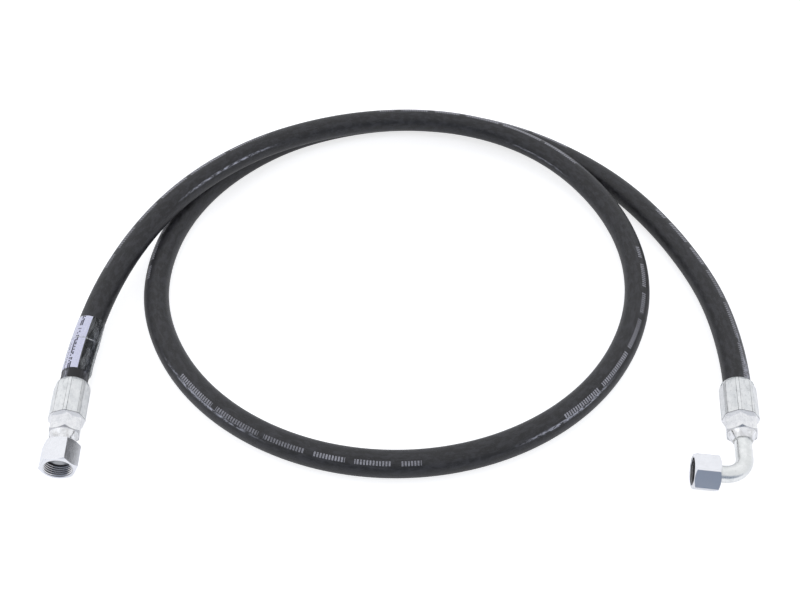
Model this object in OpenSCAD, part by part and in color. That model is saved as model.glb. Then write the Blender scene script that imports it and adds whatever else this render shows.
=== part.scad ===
// Hydraulic hose assembly: a two-wire braided hose laid in a loop of one and a half turns, with a
// straight swivel fitting on its left end and a 90 degree swivel elbow on its right end.
// Millimetres. The floor is z = 0, +Y runs away from the fittings and into the loop.

/* [Hose] */
// Bore of the hose
hose_bore = 12.7; // [11:0.1:14]
// Wall of the rubber inner tube
tube_wall = 1.4; // [1:0.05:2]
// Thickness of each layer of wire braid
braid_wall = 0.6; // [0.4:0.05:0.8]
// Thickness of the rubber friction layer between the braids
friction_wall = 0.2; // [0.15:0.05:0.4]
// Wall of the rubber cover
cover_wall = 1.45; // [1:0.05:2.5]
// Bonding clearance between one layer of the hose and the next
layer_gap = 0.05; // [0.02:0.01:0.1]

/* [Loop] */
// Radius of the loop's round front, along the middle of the hose
loop_radius = 211; // [200:1:220]
// Middle of the loop, left to right
loop_x = -7; // [-15:0.5:5]
// Middle of the loop, front to back
loop_y = 187; // [180:0.5:200]

/* [Label] */
// Length of the printed label along the hose
label_length = 52.5; // [30:0.5:70]
// Bare hose between the ferrule and the label
label_offset = 11.5; // [4:0.5:20]
// Thickness of the label
label_thickness = 0.15; // [0.1:0.01:0.2]
// Thickness of the clear film wrapped over the label
film_thickness = 0.1; // [0.05:0.01:0.15]
// How far the film runs past each end of the label
film_overhang = 0.5; // [0:0.5:3]

/* [Ferrules] */
// Length of each crimped ferrule
ferrule_length = 34; // [30:0.5:40]
// Diameter over the ridges that the crimping dies leave
ridge_diameter = 28.2; // [27.9:0.1:28.8]
// Size across a pair of opposite crimp flats
crimp_size = 26.8; // [26.4:0.1:27.5]
// Number of crimp flats
crimp_flats = 8; // [8:1:8]
// How far the left ferrule's crimp flats are turned from lying level
left_crimp_turn = 16; // [0:1:17]
// How far the right ferrule's crimp flats are turned from lying level
right_crimp_turn = -8; // [-17:1:0]
// Thickness of the ferrule's front web, which locks in the stem's groove
web_thickness = 3.2; // [2.5:0.1:4]
// Length of the bevel at the hose end of the ferrule
ferrule_bevel = 1.6; // [0.8:0.1:2.5]
// Length of the bevel at the front face of the ferrule
front_bevel = 0.4; // [0.2:0.1:1]
// Depth of the grip grooves inside the ferrule
grip_depth = 0.6; // [0.3:0.1:0.8]
// Number of grip grooves inside the ferrule
grip_grooves = 4; // [2:1:5]

/* [Stems] */
// Size across the flats of the stem's hexagon
hex_size = 22.2; // [21.5:0.1:23]
// Length of the stem's hexagon
hex_length = 13.5; // [11:0.5:16]
// Diameter of the flow passage through the stems
flow_bore = 9.6; // [8.5:0.1:10.2]
// Diameter of the groove that the ferrule's web locks in
lock_diameter = 14.2; // [13.8:0.1:15]
// Diameter of the locking shoulder behind that groove
shoulder_diameter = 16; // [15.6:0.1:17.5]
// Length of the locking shoulder
shoulder_length = 2; // [1.5:0.1:3]
// Length of the tail inside the hose
tail_length = 27; // [22:0.5:30]
// Number of grip grooves round the tail
tail_grooves = 5; // [3:1:6]
// Depth of the tail's grip grooves
tail_groove_depth = 0.4; // [0.2:0.05:0.6]
// Diameter of the tapered collar in front of the left hexagon
left_collar_diameter = 20.8; // [19.5:0.1:21.5]
// Length of the left collar
left_collar_length = 4.5; // [3:0.1:7]
// Diameter of the neck between the left collar and the left nut
neck_diameter = 16.6; // [15:0.1:17.4]
// Length of the neck that shows between the left collar and the left nut
neck_length = 5.4; // [3:0.1:7]
// Diameter of the journal that the left nut turns on
journal_diameter = 18.2; // [17.6:0.1:18.6]
// Diameter of the tapered collar in front of the right hexagon
right_collar_diameter = 21; // [20:0.1:22]
// Length of the right collar
right_collar_length = 5.8; // [4:0.1:9]
// Length of each collar before its taper starts
collar_land = 0.4; // [0.2:0.1:1]
// How far the left hexagon is turned from having a corner on top
left_hex_turn = 15; // [0:1:29]
// How far the right hexagon is turned from having a corner on top
right_hex_turn = -13; // [-29:1:0]

/* [Swivel nuts] */
// Size across the flats of the swivel nuts
nut_size = 25.4; // [25:0.1:28]
// Length of the left swivel nut
left_nut_length = 20.5; // [19.5:0.1:23]
// Length of the right swivel nut
right_nut_length = 19; // [18.5:0.1:22]
// Minor diameter of the 7/8-14 thread, where the thread's wall is
thread_minor = 20.4; // [20.2:0.05:20.6]
// Diameter of the relief groove behind the thread
relief_diameter = 22.6; // [22.3:0.1:23]
// Depth of thread in front of the sealing nose
thread_length = 8.4; // [7:0.1:9]
// Size of the chamfer at the thread's mouth
mouth_chamfer = 0.6; // [0.4:0.1:1]
// Length of the relief groove
relief_length = 2.5; // [2:0.1:3]
// Radial running clearance of the left nut on its journal
journal_gap = 0.07; // [0.03:0.01:0.1]
// How far the left nut is turned from having a flat on top
left_nut_turn = 0; // [-29:1:29]
// How far the right nut is turned from having a flat on top
right_nut_turn = 0; // [-29:1:29]
// Diameter of the thrust wire that holds the left nut on
wire_diameter = 1.6; // [1.2:0.1:1.8]
// Clearance round the thrust wire in its two half grooves
wire_gap = 0.05; // [0.03:0.01:0.1]
// Length of the nut behind the middle of the thrust wire
wire_setback = 4; // [3:0.1:5]

/* [Sealing noses] */
// Angle of the cone seat from the axis
seat_angle = 37; // [35:1:40]
// Diameter of the cone seat at its mouth
seat_diameter = 15.8; // [15:0.1:16.4]
// Diameter of the brazed nose on the elbow
nose_diameter = 19; // [18.4:0.1:19.4]
// Running clearance between the noses and the nuts' inside
nose_gap = 0.3; // [0.2:0.05:0.4]
// Thickness of the right nut's back wall
nut_back_wall = 3; // [2.5:0.1:4]

/* [Elbow] */
// Outside diameter of the elbow's tube
elbow_tube_diameter = 12.7; // [12:0.1:13]
// Wall of the elbow's tube
elbow_wall = 1.5; // [1.2:0.1:2]
// Radius of the bend, along the middle of the tube
bend_radius = 16; // [13:0.5:17]
// From the elbow's corner to the face of the right collar
elbow_rise = 31.5; // [28:0.1:36]
// From the elbow's corner to the mouth of the right nut
elbow_reach = 38.8; // [38:0.1:45]
// How far the elbow's tube runs into the stem
socket_depth = 8; // [6:0.5:10]
// Clearance of the tube in its brazed sockets
braze_gap = 0.05; // [0.03:0.01:0.08]
// Size of the ring of braze metal at each socket's mouth
braze_ring = 0.9; // [0.6:0.1:1]
// Radial clearance of the elbow's tube in the right nut's back wall
tube_gap = 0.25; // [0.1:0.05:0.4]

/* [Placing] */
// Lean of the left fitting from the Y axis
left_lean = 4.5; // [0:0.5:10]
// Lean of the right fitting from the Y axis
right_lean = 8.5; // [0:0.5:10]
// Left ferrule's mouth, left to right
left_mouth_x = -262.9; // [-270:0.1:-255]
// Left ferrule's mouth, front to back
left_mouth_y = 46.9; // [40:0.1:60]
// Right ferrule's mouth, left to right
right_mouth_x = 263.3; // [255:0.1:270]
// Right ferrule's mouth, front to back
right_mouth_y = 46.7; // [40:0.1:60]

/* [Hidden] */

round_fn = 96;
wire_fn = 32;
bend_fn = 64;
clearance = 0.2;

// How far a cut runs past the face that it opens, how far one shape is sunk in the next, and the
// least overlap of a cone that is cut
past = 1;
sunk = 1;
hair = 0.01;

// Part of the thrust wire's ring that is left open for its feed hole
open_angle = 20;

// Cuts at the corners of the nuts, at the back corners of the stems' hexagons and at the end of the
// tails
nut_corner_cut = 0.4;
hex_back_cut = 0.5;
tail_chamfer = 0.6;
tail_chamfer_length = 1;

// Radii of the hose, from the bore outwards
bore_r = hose_bore / 2;
tube_r = bore_r + tube_wall;
inner_braid_r = tube_r + braid_wall;
friction_r = inner_braid_r + friction_wall;
outer_braid_r = friction_r + braid_wall;
hose_r = outer_braid_r + cover_wall;

// The hose is swept with flats, and one flat lies level underneath
hose_sides = 10;
side_angle = 360 / hose_sides;
first_corner = -90 + side_angle / 2;
corner_factor = 1 / cos(side_angle / 2);

// Ferrules: their ridges rest on the floor, so each fitting's axis lies at its own height
ridge_r = ridge_diameter / 2;
flat_r = crimp_size / 2;
function rest_height(turn) = ridge_r * cos(acos(flat_r / ridge_r) - abs(turn));
left_axis_z = rest_height(left_crimp_turn);
right_axis_z = rest_height(right_crimp_turn);
ferrule_bore_r = hose_r * corner_factor + layer_gap;
lock_r = lock_diameter / 2;
hose_start = web_thickness + shoulder_length + clearance;

// Stems, along their axis from the ferrule's front face
tail_r = bore_r - layer_gap;
tail_end = hose_start + tail_length;
left_collar_end = hex_length + left_collar_length;
right_collar_end = hex_length + right_collar_length;
left_mouth_s = left_collar_end + neck_length + left_nut_length;

// Inside of the nuts, from the mouth
thread_end = mouth_chamfer + thread_length;
relief_end = thread_end + relief_length;
nose_front = thread_end + clearance;
wire_s = left_nut_length - wire_setback;
wire_r = wire_diameter / 2;
wire_ring_r = journal_diameter / 2 + journal_gap / 2;
nose_back = right_nut_length - nut_back_wall - nose_gap;
seat_r = seat_diameter / 2;
tube_r_out = elbow_tube_diameter / 2;
tube_bore_r = tube_r_out - elbow_wall;
collar_lip = 0.2;
right_collar_tip_r = tube_r_out + braze_ring + collar_lip;
seat_floor = nose_front + (seat_r - tube_bore_r) / tan(seat_angle);

// The elbow's tube ends just behind the seat
tube_end = seat_floor + clearance;

// Route of the hose: its middle line, as x, y and how high the hose's underside is lifted
over_route = [
    [-262, 98.5, 6.5], [-254, 149.5, 11.5], [-238, 198.5, 17], [-214, 244, 22],
    [-182.5, 285, 24.5], [-144, 319.5, 25.5], [-100, 346.5, 24.5], [-51.5, 365, 23],
    [-0.5, 374.5, 20.5], [51, 373, 17.5], [100.5, 358, 14], [143, 329, 10.5],
    [175.5, 289, 6.5], [196.5, 241.5, 3.5], [204.5, 190.5, 1.5], [199, 139, 0.5]
];
under_route = [
    [-216.5, 195, 0], [-207.5, 245.5, 0], [-186.5, 293, 0], [-155, 334, 0],
    [-115, 367, 0], [-68.5, 389, 0], [-18, 400.5, 0], [34, 399.5, 0],
    [84, 387, 0], [130.5, 364, 0], [171, 332, 0], [205.5, 293, 0],
    [232, 248.5, 0], [251.5, 201, 0], [264, 150.5, 1], [267.5, 99, 2]
];
front_first = -27.2;
front_step = -14.1;
front_points = 11;
front_route = [
    for (i = [0 : front_points - 1])
        let (a = front_first + i * front_step)
            [loop_x + loop_radius * cos(a), loop_y + loop_radius * sin(a), 0]
];
function lifted(points) = [for (p = points) [p.x, p.y, p.z + hose_r]];

// Directions from each ferrule's front face to its mouth, and points along them
left_way = [-sin(left_lean), cos(left_lean), 0];
right_way = [sin(right_lean), cos(right_lean), 0];
left_mouth = [left_mouth_x, left_mouth_y, left_axis_z];
right_mouth = [right_mouth_x, right_mouth_y, right_axis_z];
left_front = left_mouth - ferrule_length * left_way;
right_front = right_mouth - ferrule_length * right_way;
bend_out = 2;
route = concat(
    [left_front + hose_start * left_way, left_mouth + bend_out * left_way],
    lifted(over_route), lifted(front_route), lifted(under_route),
    [right_mouth + bend_out * right_way, right_front + hose_start * right_way]
);

// Least gap between the strand on top and the strand under it, measured on points between the
// route's own points
function between(points, steps) = [
    for (i = [0 : len(points) - 2]) for (j = [0 : steps - 1])
        points[i] + (points[i + 1] - points[i]) * j / steps
];
gap_steps = 6;
upper_points = between(lifted(over_route), gap_steps);
lower_points = between(lifted(under_route), gap_steps);
least_gap = min([for (a = upper_points) min([for (b = lower_points) norm(a - b)])]) - 2 * hose_r;
route_steps = [for (i = [1 : len(route) - 1]) norm(route[i] - route[i - 1])];
function total(values) = values * [for (v = values) 1];
echo(least_gap_of_hose_to_itself = least_gap);
echo(hose_length = total(route_steps));

// Direction of the route at one of its points, and the ring of corners round it
function unit(v) = v / norm(v);
function step_way(points, i) = unit(points[i + 1] - points[i]);
function way(points, i) =
    i == 0 ? step_way(points, 0)
    : i == len(points) - 1 ? step_way(points, i - 1)
    : unit(step_way(points, i) + step_way(points, i - 1));
function ring(points, i, radii, angles) =
    let (t = way(points, i), side = unit(cross(t, [0, 0, 1])), up = cross(side, t))
        [for (k = [0 : len(angles) - 1])
            points[i] + radii[k] * (cos(angles[k]) * side + sin(angles[k]) * up)];

// A patch swept along points, between over_radii and under_radii at the angles
module swept_patch(points, over_radii, under_radii, angles) {
    m = len(angles);
    n = 2 * m;
    last = (len(points) - 1) * n;
    back = [for (k = [m - 1 : -1 : 0]) k];
    outline = concat(angles, [for (k = back) angles[k]]);
    radii = concat(over_radii, [for (k = back) under_radii[k]]);
    sides = [
        for (i = [0 : len(points) - 2]) for (k = [0 : n - 1])
            let (a = i * n + k, b = i * n + (k + 1) % n)
                each [[a, b, a + n], [b, b + n, a + n]]
    ];
    near_cap = [
        for (k = [0 : m - 2]) each [[k + 1, k, n - 1 - k], [k + 1, n - 1 - k, n - 2 - k]]
    ];
    far_cap = [for (f = near_cap) [last + f[0], last + f[2], last + f[1]]];
    polyhedron(
        points = [for (i = [0 : len(points) - 1]) each ring(points, i, radii, outline)],
        faces = concat(sides, near_cap, far_cap), convexity = 10
    );
}

// A hollow tube with flats swept along points: flat_out and flat_in are the distances from the
// middle line to the flats
corner_angles = [for (k = [0 : hose_sides - 1]) first_corner + k * side_angle];
module hose_layer(points, flat_out, flat_in) {
    n = hose_sides;
    rings = len(points);
    inner = rings * n;
    outer_radii = [for (a = corner_angles) flat_out * corner_factor];
    inner_radii = [for (a = corner_angles) flat_in * corner_factor];
    walls = [
        for (i = [0 : rings - 2]) for (k = [0 : n - 1])
            let (a = i * n + k, b = i * n + (k + 1) % n)
                each [
                    [a, b, a + n], [b, b + n, a + n],
                    [inner + a, inner + a + n, inner + b],
                    [inner + b, inner + a + n, inner + b + n]
                ]
    ];
    last = (rings - 1) * n;
    ends = [
        for (k = [0 : n - 1])
            let (a = k, b = (k + 1) % n)
                each [
                    [a, inner + a, b], [b, inner + a, inner + b],
                    [last + a, last + b, inner + last + a],
                    [last + b, inner + last + b, inner + last + a]
                ]
    ];
    polyhedron(
        points = concat(
            [for (i = [0 : rings - 1]) each ring(points, i, outer_radii, corner_angles)],
            [for (i = [0 : rings - 1]) each ring(points, i, inner_radii, corner_angles)]
        ),
        faces = concat(walls, ends), convexity = 10
    );
}

// Distance from the middle line to the swept surface with flats at the distance flat, at angle a
function surface_r(flat, a) =
    let (turned = (a - first_corner + 720) % side_angle)
        flat / cos(turned - side_angle / 2);

// The label's stretch of the route: it crosses the first free point of the route
label_start = left_mouth + (label_offset - bend_out) * step_way(route, 1)
    + bend_out * left_way;
label_first_run = norm(route[2] - label_start);
label_end = route[2] + (label_length - label_first_run) * step_way(route, 2);
label_points = [label_start, route[2], label_end];
film_points = [
    label_start - film_overhang * step_way(route, 1), route[2],
    label_end + film_overhang * step_way(route, 2)
];
label_angles = [68, 72, 108, 144, 180, 208];
label_under_r = hose_r + layer_gap;
label_over_r = label_under_r + label_thickness;

// Moves its children from a frame with its axis along +Y and its ferrule's front face at the
// origin to each fitting's place
module at_left() {
    translate(left_front) rotate([0, 0, left_lean]) children();
}
module at_right() {
    translate(right_front) rotate([0, 0, -right_lean]) children();
}

// Turns a shape made along +Z to lie along +Y, or along -Y
module along_y(turn = 0) {
    rotate([-90, 0, 0]) rotate([0, 0, turn]) children();
}
module against_y(turn = 0) {
    rotate([90, 0, 0]) rotate([0, 0, turn]) children();
}

// Half a section, as [radius, height] points, turned round the Z axis
module turned(profile) {
    rotate_extrude($fn = round_fn) polygon(profile);
}

// Hexagon bar from z = 0 with a corner at angle 0. Its corners are turned down to the radius low_r
// at z = 0, and to high_r at the other end
module hex_bar(size, length, low_r, high_r) {
    corner_r = size / 2 / cos(30);
    intersection() {
        cylinder(h = length, r = corner_r, $fn = 6);
        turned([
            [0, 0], [low_r, 0], [corner_r, (corner_r - low_r) * tan(30)],
            [corner_r, length - (corner_r - high_r) * tan(30)], [high_r, length], [0, length]
        ]);
    }
}

// Hexagon of a stem along -Y, with its front corners turned down to just over its collar
module stem_hex(turn, collar_r) {
    against_y(90 - turn) hex_bar(
        hex_size, hex_length, hex_size / 2 / cos(30) - hex_back_cut, collar_r + collar_lip
    );
}

// Crimped ferrule along +Z from its front face
module ferrule_shape() {
    grip_pitch = (ferrule_length - hose_start - 2 * ferrule_bevel) / grip_grooves;
    difference() {
        intersection() {
            rotate([0, 0, 180 / crimp_flats])
                cylinder(h = ferrule_length, r = flat_r / cos(180 / crimp_flats), $fn = crimp_flats);
            turned([
                [0, 0], [ridge_r - front_bevel, 0], [ridge_r, front_bevel],
                [ridge_r, ferrule_length - ferrule_bevel],
                [ferrule_bore_r + ferrule_bevel / 2, ferrule_length], [0, ferrule_length]
            ]);
        }
        translate([0, 0, -past])
            cylinder(h = ferrule_length, r = lock_r + layer_gap, $fn = round_fn);
        translate([0, 0, web_thickness])
            cylinder(h = ferrule_length, r = ferrule_bore_r, $fn = round_fn);
        for (i = [0 : grip_grooves - 1])
            translate([0, 0, hose_start + ferrule_bevel + (i + 0.25) * grip_pitch])
                cylinder(h = grip_pitch / 2, r = ferrule_bore_r + grip_depth, $fn = round_fn);
    }
}

// Collar along +Z that tapers from base_r, just past the hexagon, to tip_r at its end
module collar_shape(base_r, tip_r, end) {
    turned([
        [0, hex_length - sunk], [base_r, hex_length - sunk], [base_r, hex_length + collar_land],
        [tip_r, end - collar_land / 2], [tip_r, end], [0, end]
    ]);
}

// Tail, locking groove and shoulder of a stem along +Z, with the ferrule's front face at z = 0
module stem_tail() {
    groove_pitch = tail_length / (tail_grooves + 1);
    difference() {
        union() {
            cylinder(h = tail_end, r = tail_r, $fn = round_fn);
            cylinder(h = hose_start - clearance, r = lock_r, $fn = round_fn);
            translate([0, 0, web_thickness + clearance / 4])
                cylinder(
                    h = shoulder_length - clearance / 4, r = shoulder_diameter / 2, $fn = round_fn
                );
        }
        for (i = [1 : tail_grooves])
            translate([0, 0, hose_start + (i - 0.25) * groove_pitch])
                difference() {
                    cylinder(h = groove_pitch / 2, r = tail_r + past, $fn = round_fn);
                    cylinder(
                        h = groove_pitch / 2, r1 = tail_r - tail_groove_depth, r2 = tail_r,
                        $fn = round_fn
                    );
                }
        translate([0, 0, tail_end - tail_chamfer_length])
            difference() {
                cylinder(h = tail_chamfer_length + past, r = tail_r + past, $fn = round_fn);
                cylinder(
                    h = tail_chamfer_length, r1 = tail_r, r2 = tail_r - tail_chamfer,
                    $fn = round_fn
                );
            }
    }
}

// Cone seat cut into a nose whose front face is at z = 0, with the flow passage behind it
module seat_cut(mouth_r, passage_r) {
    depth = (mouth_r - passage_r) / tan(seat_angle);
    translate([0, 0, -hair])
        cylinder(h = depth + hair, r1 = mouth_r, r2 = passage_r, $fn = round_fn);
}

// Outside and thread of a swivel nut, from its mouth at z = 0
module nut_blank(length) {
    difference() {
        hex_bar(
            nut_size, length, nut_size / 2 - nut_corner_cut, nut_size / 2 - nut_corner_cut
        );
        translate([0, 0, -hair])
            cylinder(
                h = mouth_chamfer + hair, r1 = thread_minor / 2 + mouth_chamfer,
                r2 = thread_minor / 2, $fn = round_fn
            );
        cylinder(h = relief_end, r = thread_minor / 2, $fn = round_fn);
        translate([0, 0, thread_end])
            cylinder(h = relief_length, r = relief_diameter / 2, $fn = round_fn);
    }
}

// Ring of braze metal that lies braze_gap clear of the chamfer at a socket's mouth, at z = 0
module braze_shape() {
    turned([
        [tube_r_out + braze_gap, 2 * braze_gap - braze_ring],
        [tube_r_out + braze_ring - 2 * braze_gap, -braze_gap],
        [tube_r_out + braze_gap, -braze_gap]
    ]);
}

// ---- Hose ----

module hose_cover() {
    color([0.2, 0.2, 0.22])
        hose_layer(route, hose_r, outer_braid_r + layer_gap);
}

module outer_wire_braid() {
    color([0.72, 0.62, 0.42])
        hose_layer(route, outer_braid_r, friction_r + layer_gap);
}

module friction_layer() {
    color([0.15, 0.15, 0.15])
        hose_layer(route, friction_r, inner_braid_r + layer_gap);
}

module inner_wire_braid() {
    color([0.72, 0.62, 0.42])
        hose_layer(route, inner_braid_r, tube_r + layer_gap);
}

module inner_tube() {
    color([0.1, 0.1, 0.1])
        hose_layer(route, tube_r, bore_r);
}

module hose_label() {
    color([0.87, 0.87, 0.94])
        swept_patch(
            label_points,
            [for (a = label_angles) surface_r(label_over_r, a)],
            [for (a = label_angles) surface_r(label_under_r, a)],
            label_angles
        );
}

module label_film() {
    film_r = label_over_r + layer_gap;
    color([0.9, 0.9, 0.95, 0.4])
        hose_layer(film_points, film_r + film_thickness, film_r);
}

// ---- Left end: straight fitting ----

module left_ferrule() {
    color([0.8, 0.8, 0.8])
        at_left() along_y(-left_crimp_turn) ferrule_shape();
}

module left_stem() {
    nose_s = left_mouth_s - nose_front;
    journal_s = left_mouth_s - left_nut_length + clearance;
    color([0.85, 0.86, 0.88])
        at_left() difference() {
            union() {
                along_y() stem_tail();
                stem_hex(left_hex_turn, left_collar_diameter / 2);
                against_y() collar_shape(
                    left_collar_diameter / 2, neck_diameter / 2, left_collar_end
                );
                against_y() cylinder(h = nose_s - sunk, r = neck_diameter / 2, $fn = round_fn);
                against_y() difference() {
                    translate([0, 0, journal_s])
                        cylinder(h = nose_s - journal_s, r = journal_diameter / 2, $fn = round_fn);
                    translate([0, 0, left_mouth_s - wire_s])
                        rotate_extrude($fn = round_fn)
                            translate([wire_ring_r, 0]) circle(r = wire_r + wire_gap, $fn = wire_fn);
                    translate([0, 0, nose_s]) mirror([0, 0, 1]) seat_cut(seat_r, flow_bore / 2);
                }
            }
            along_y() translate([0, 0, -nose_s - past])
                cylinder(h = nose_s + tail_end + 2 * past, r = flow_bore / 2, $fn = round_fn);
        }
}

module thrust_wire() {
    color([0.6, 0.6, 0.62])
        at_left() against_y(90 + open_angle / 2)
            translate([0, 0, left_mouth_s - wire_s])
                rotate_extrude(angle = 360 - open_angle, $fn = round_fn)
                    translate([wire_ring_r, 0]) circle(r = wire_r, $fn = wire_fn);
}

module left_swivel_nut() {
    bore = journal_diameter / 2 + journal_gap;
    color([0.88, 0.89, 0.92])
        at_left() translate([0, -left_mouth_s, 0]) along_y(left_nut_turn) difference() {
            nut_blank(left_nut_length);
            cylinder(h = left_nut_length + past, r = bore, $fn = round_fn);
            translate([0, 0, wire_s])
                rotate_extrude($fn = round_fn)
                    translate([wire_ring_r, 0]) circle(r = wire_r + wire_gap, $fn = wire_fn);
            translate([0, 0, wire_s]) rotate([-90, 0, 0])
                cylinder(h = nut_size, r = wire_r + wire_gap, $fn = wire_fn);
        }
}

// ---- Right end: swivel elbow ----

module right_ferrule() {
    color([0.8, 0.8, 0.8])
        at_right() along_y(-right_crimp_turn) ferrule_shape();
}

module right_stem() {
    socket_r = tube_r_out + braze_gap;
    color([0.85, 0.86, 0.88])
        at_right() difference() {
            union() {
                along_y() stem_tail();
                stem_hex(right_hex_turn, right_collar_diameter / 2);
                against_y() collar_shape(
                    right_collar_diameter / 2, right_collar_tip_r, right_collar_end
                );
            }
            along_y() translate([0, 0, -right_collar_end - past])
                cylinder(
                    h = right_collar_end + tail_end + 2 * past, r = flow_bore / 2, $fn = round_fn
                );
            against_y() translate([0, 0, right_collar_end - socket_depth])
                cylinder(h = socket_depth + past, r = socket_r, $fn = round_fn);
            against_y() translate([0, 0, right_collar_end - braze_ring])
                cylinder(
                    h = braze_ring, r1 = tube_r_out, r2 = tube_r_out + braze_ring,
                    $fn = round_fn
                );
        }
}

// The elbow's own frame: its corner at the origin, the stem along +Y and the nut's mouth along -X.
// It is rolled down until the flat underneath the nut meets the floor at the nut's mouth
elbow_roll = asin((right_axis_z - nut_size / 2) / elbow_reach);
module at_elbow() {
    at_right() translate([0, -right_collar_end - elbow_rise, 0])
        rotate([0, -elbow_roll, 0]) children();
}

// Turns a shape made along +Z, from the right nut's mouth, to lie along +X
module from_elbow_mouth(turn = 0) {
    at_elbow() translate([-elbow_reach, 0, 0]) rotate([0, 90, 0]) rotate([0, 0, 90 + turn])
        children();
}

module elbow_run(r) {
    stem_run = elbow_rise - bend_radius + socket_depth - clearance;
    nose_run = elbow_reach - bend_radius - tube_end;
    at_elbow() {
        translate([0, bend_radius, 0]) along_y() cylinder(h = stem_run, r = r, $fn = round_fn);
        translate([-bend_radius, bend_radius, 0])
            rotate([0, 0, -90]) rotate_extrude(angle = 90, $fn = round_fn)
                translate([bend_radius, 0]) circle(r = r, $fn = bend_fn);
        translate([-bend_radius, 0, 0]) rotate([0, -90, 0])
            cylinder(h = nose_run, r = r, $fn = round_fn);
    }
}

module elbow_tube() {
    color([0.8, 0.8, 0.8]) difference() {
        elbow_run(tube_r_out);
        elbow_run(tube_bore_r);
    }
}

module elbow_nose() {
    color([0.85, 0.86, 0.88])
        from_elbow_mouth() difference() {
            translate([0, 0, nose_front])
                cylinder(h = nose_back - nose_front, r = nose_diameter / 2, $fn = round_fn);
            translate([0, 0, nose_front]) seat_cut(seat_r, tube_bore_r);
            cylinder(h = right_nut_length, r = tube_bore_r, $fn = round_fn);
            translate([0, 0, seat_floor + clearance / 2])
                cylinder(h = right_nut_length, r = tube_r_out + braze_gap, $fn = round_fn);
            translate([0, 0, nose_back - braze_ring])
                cylinder(
                    h = braze_ring, r1 = tube_r_out, r2 = tube_r_out + braze_ring,
                    $fn = round_fn
                );
        }
}

module stem_braze_ring() {
    color([0.55, 0.5, 0.4])
        at_right() against_y() translate([0, 0, right_collar_end]) braze_shape();
}

module nose_braze_ring() {
    color([0.55, 0.5, 0.4])
        from_elbow_mouth() translate([0, 0, nose_back]) braze_shape();
}

module right_swivel_nut() {
    color([0.88, 0.89, 0.92])
        from_elbow_mouth(right_nut_turn) difference() {
            nut_blank(right_nut_length);
            cylinder(
                h = right_nut_length - nut_back_wall, r = nose_diameter / 2 + nose_gap,
                $fn = round_fn
            );
            cylinder(h = right_nut_length + past, r = tube_r_out + tube_gap, $fn = round_fn);
        }
}

hose_cover();
outer_wire_braid();
friction_layer();
inner_wire_braid();
inner_tube();
hose_label();
label_film();
left_ferrule();
left_stem();
thrust_wire();
left_swivel_nut();
right_ferrule();
right_stem();
elbow_tube();
elbow_nose();
stem_braze_ring();
nose_braze_ring();
right_swivel_nut();
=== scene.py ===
import math

import bmesh
import bpy
import numpy as np
from mathutils import Matrix, Vector


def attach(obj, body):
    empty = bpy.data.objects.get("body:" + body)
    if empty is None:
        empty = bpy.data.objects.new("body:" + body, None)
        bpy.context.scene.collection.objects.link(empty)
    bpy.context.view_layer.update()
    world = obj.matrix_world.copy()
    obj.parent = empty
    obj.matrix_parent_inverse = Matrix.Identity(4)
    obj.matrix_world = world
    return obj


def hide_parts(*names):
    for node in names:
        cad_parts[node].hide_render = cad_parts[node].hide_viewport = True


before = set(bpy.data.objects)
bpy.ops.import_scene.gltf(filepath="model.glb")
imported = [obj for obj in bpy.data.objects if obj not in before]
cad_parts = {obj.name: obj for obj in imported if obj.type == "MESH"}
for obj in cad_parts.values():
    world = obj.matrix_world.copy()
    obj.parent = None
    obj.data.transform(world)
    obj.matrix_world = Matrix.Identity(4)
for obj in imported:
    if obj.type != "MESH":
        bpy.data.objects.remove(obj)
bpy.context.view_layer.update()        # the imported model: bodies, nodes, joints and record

# Metres, in the CAD frame: the floor is z = 0, +Y runs away from the fittings and into the loop.

# ---- Sizes repeated from the CAD source ----
HOSE_R = 0.0106
TUBE_BORE_R = 0.00635
TUBE_R = 0.00775
INNER_BRAID_R = 0.00835
FRICTION_R = 0.00855
OUTER_BRAID_R = 0.00915
LAYER_GAP = 0.00005
LOOP_R, LOOP_X, LOOP_Y = 0.211, -0.007, 0.187

FERRULE_LENGTH, FRONT_BEVEL = 0.034, 0.0004
RIDGE_R, FLAT_R = 0.0141, 0.0134
CRIMP_FLATS = 8
HALF_FLAT = 180 / CRIMP_FLATS       # degrees from the middle of a flat to that of a ridge
CREASE_TURN = 5.2                   # degrees from the middle of a ridge to its creases
WEB = 0.0032
HOSE_START = 0.0054
LEFT_CRIMP_TURN, RIGHT_CRIMP_TURN = 16, -8

HEX_R, HEX_LENGTH = 0.0111, 0.0135
HEX_ANGLE = math.radians(30)        # slope at which the corners of a hexagon are turned off
HEX_BACK_R = HEX_R / math.cos(HEX_ANGLE) - 0.0005
COLLAR_LIP = 0.0002
LEFT_HEX_TURN, RIGHT_HEX_TURN = 15, -13
LEFT_COLLAR_R, LEFT_COLLAR_END = 0.0104, 0.018
RIGHT_COLLAR_R, RIGHT_COLLAR_TIP_R, RIGHT_COLLAR_END = 0.0105, 0.00745, 0.0193
NECK_R, NECK_END = 0.0083, 0.0234
JOURNAL_R = 0.0091
FLOW_R = 0.0048
LOCK_R, SHOULDER_R = 0.0071, 0.008
TAIL_R, TAIL_END = 0.0063, 0.0324
SEAT_R = 0.0079
SEAT_ANGLE = 37

NUT_R = 0.0127
LEFT_NUT_LENGTH, RIGHT_NUT_LENGTH = 0.0205, 0.019
THREAD_MINOR_R, THREAD_MAJOR_R = 0.0102, 0.0111
THREAD_PITCH = 0.0254 / 14
MOUTH_CHAMFER, THREAD_END, RELIEF_END, RELIEF_R = 0.0006, 0.009, 0.0115, 0.0113
NOSE_FRONT = 0.0092
WIRE_SETBACK, WIRE_GROOVE_R = 0.004, 0.00085
NOSE_BORE_R, NUT_BACK_WALL, TUBE_HOLE_R = 0.0098, 0.003, 0.0066

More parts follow.
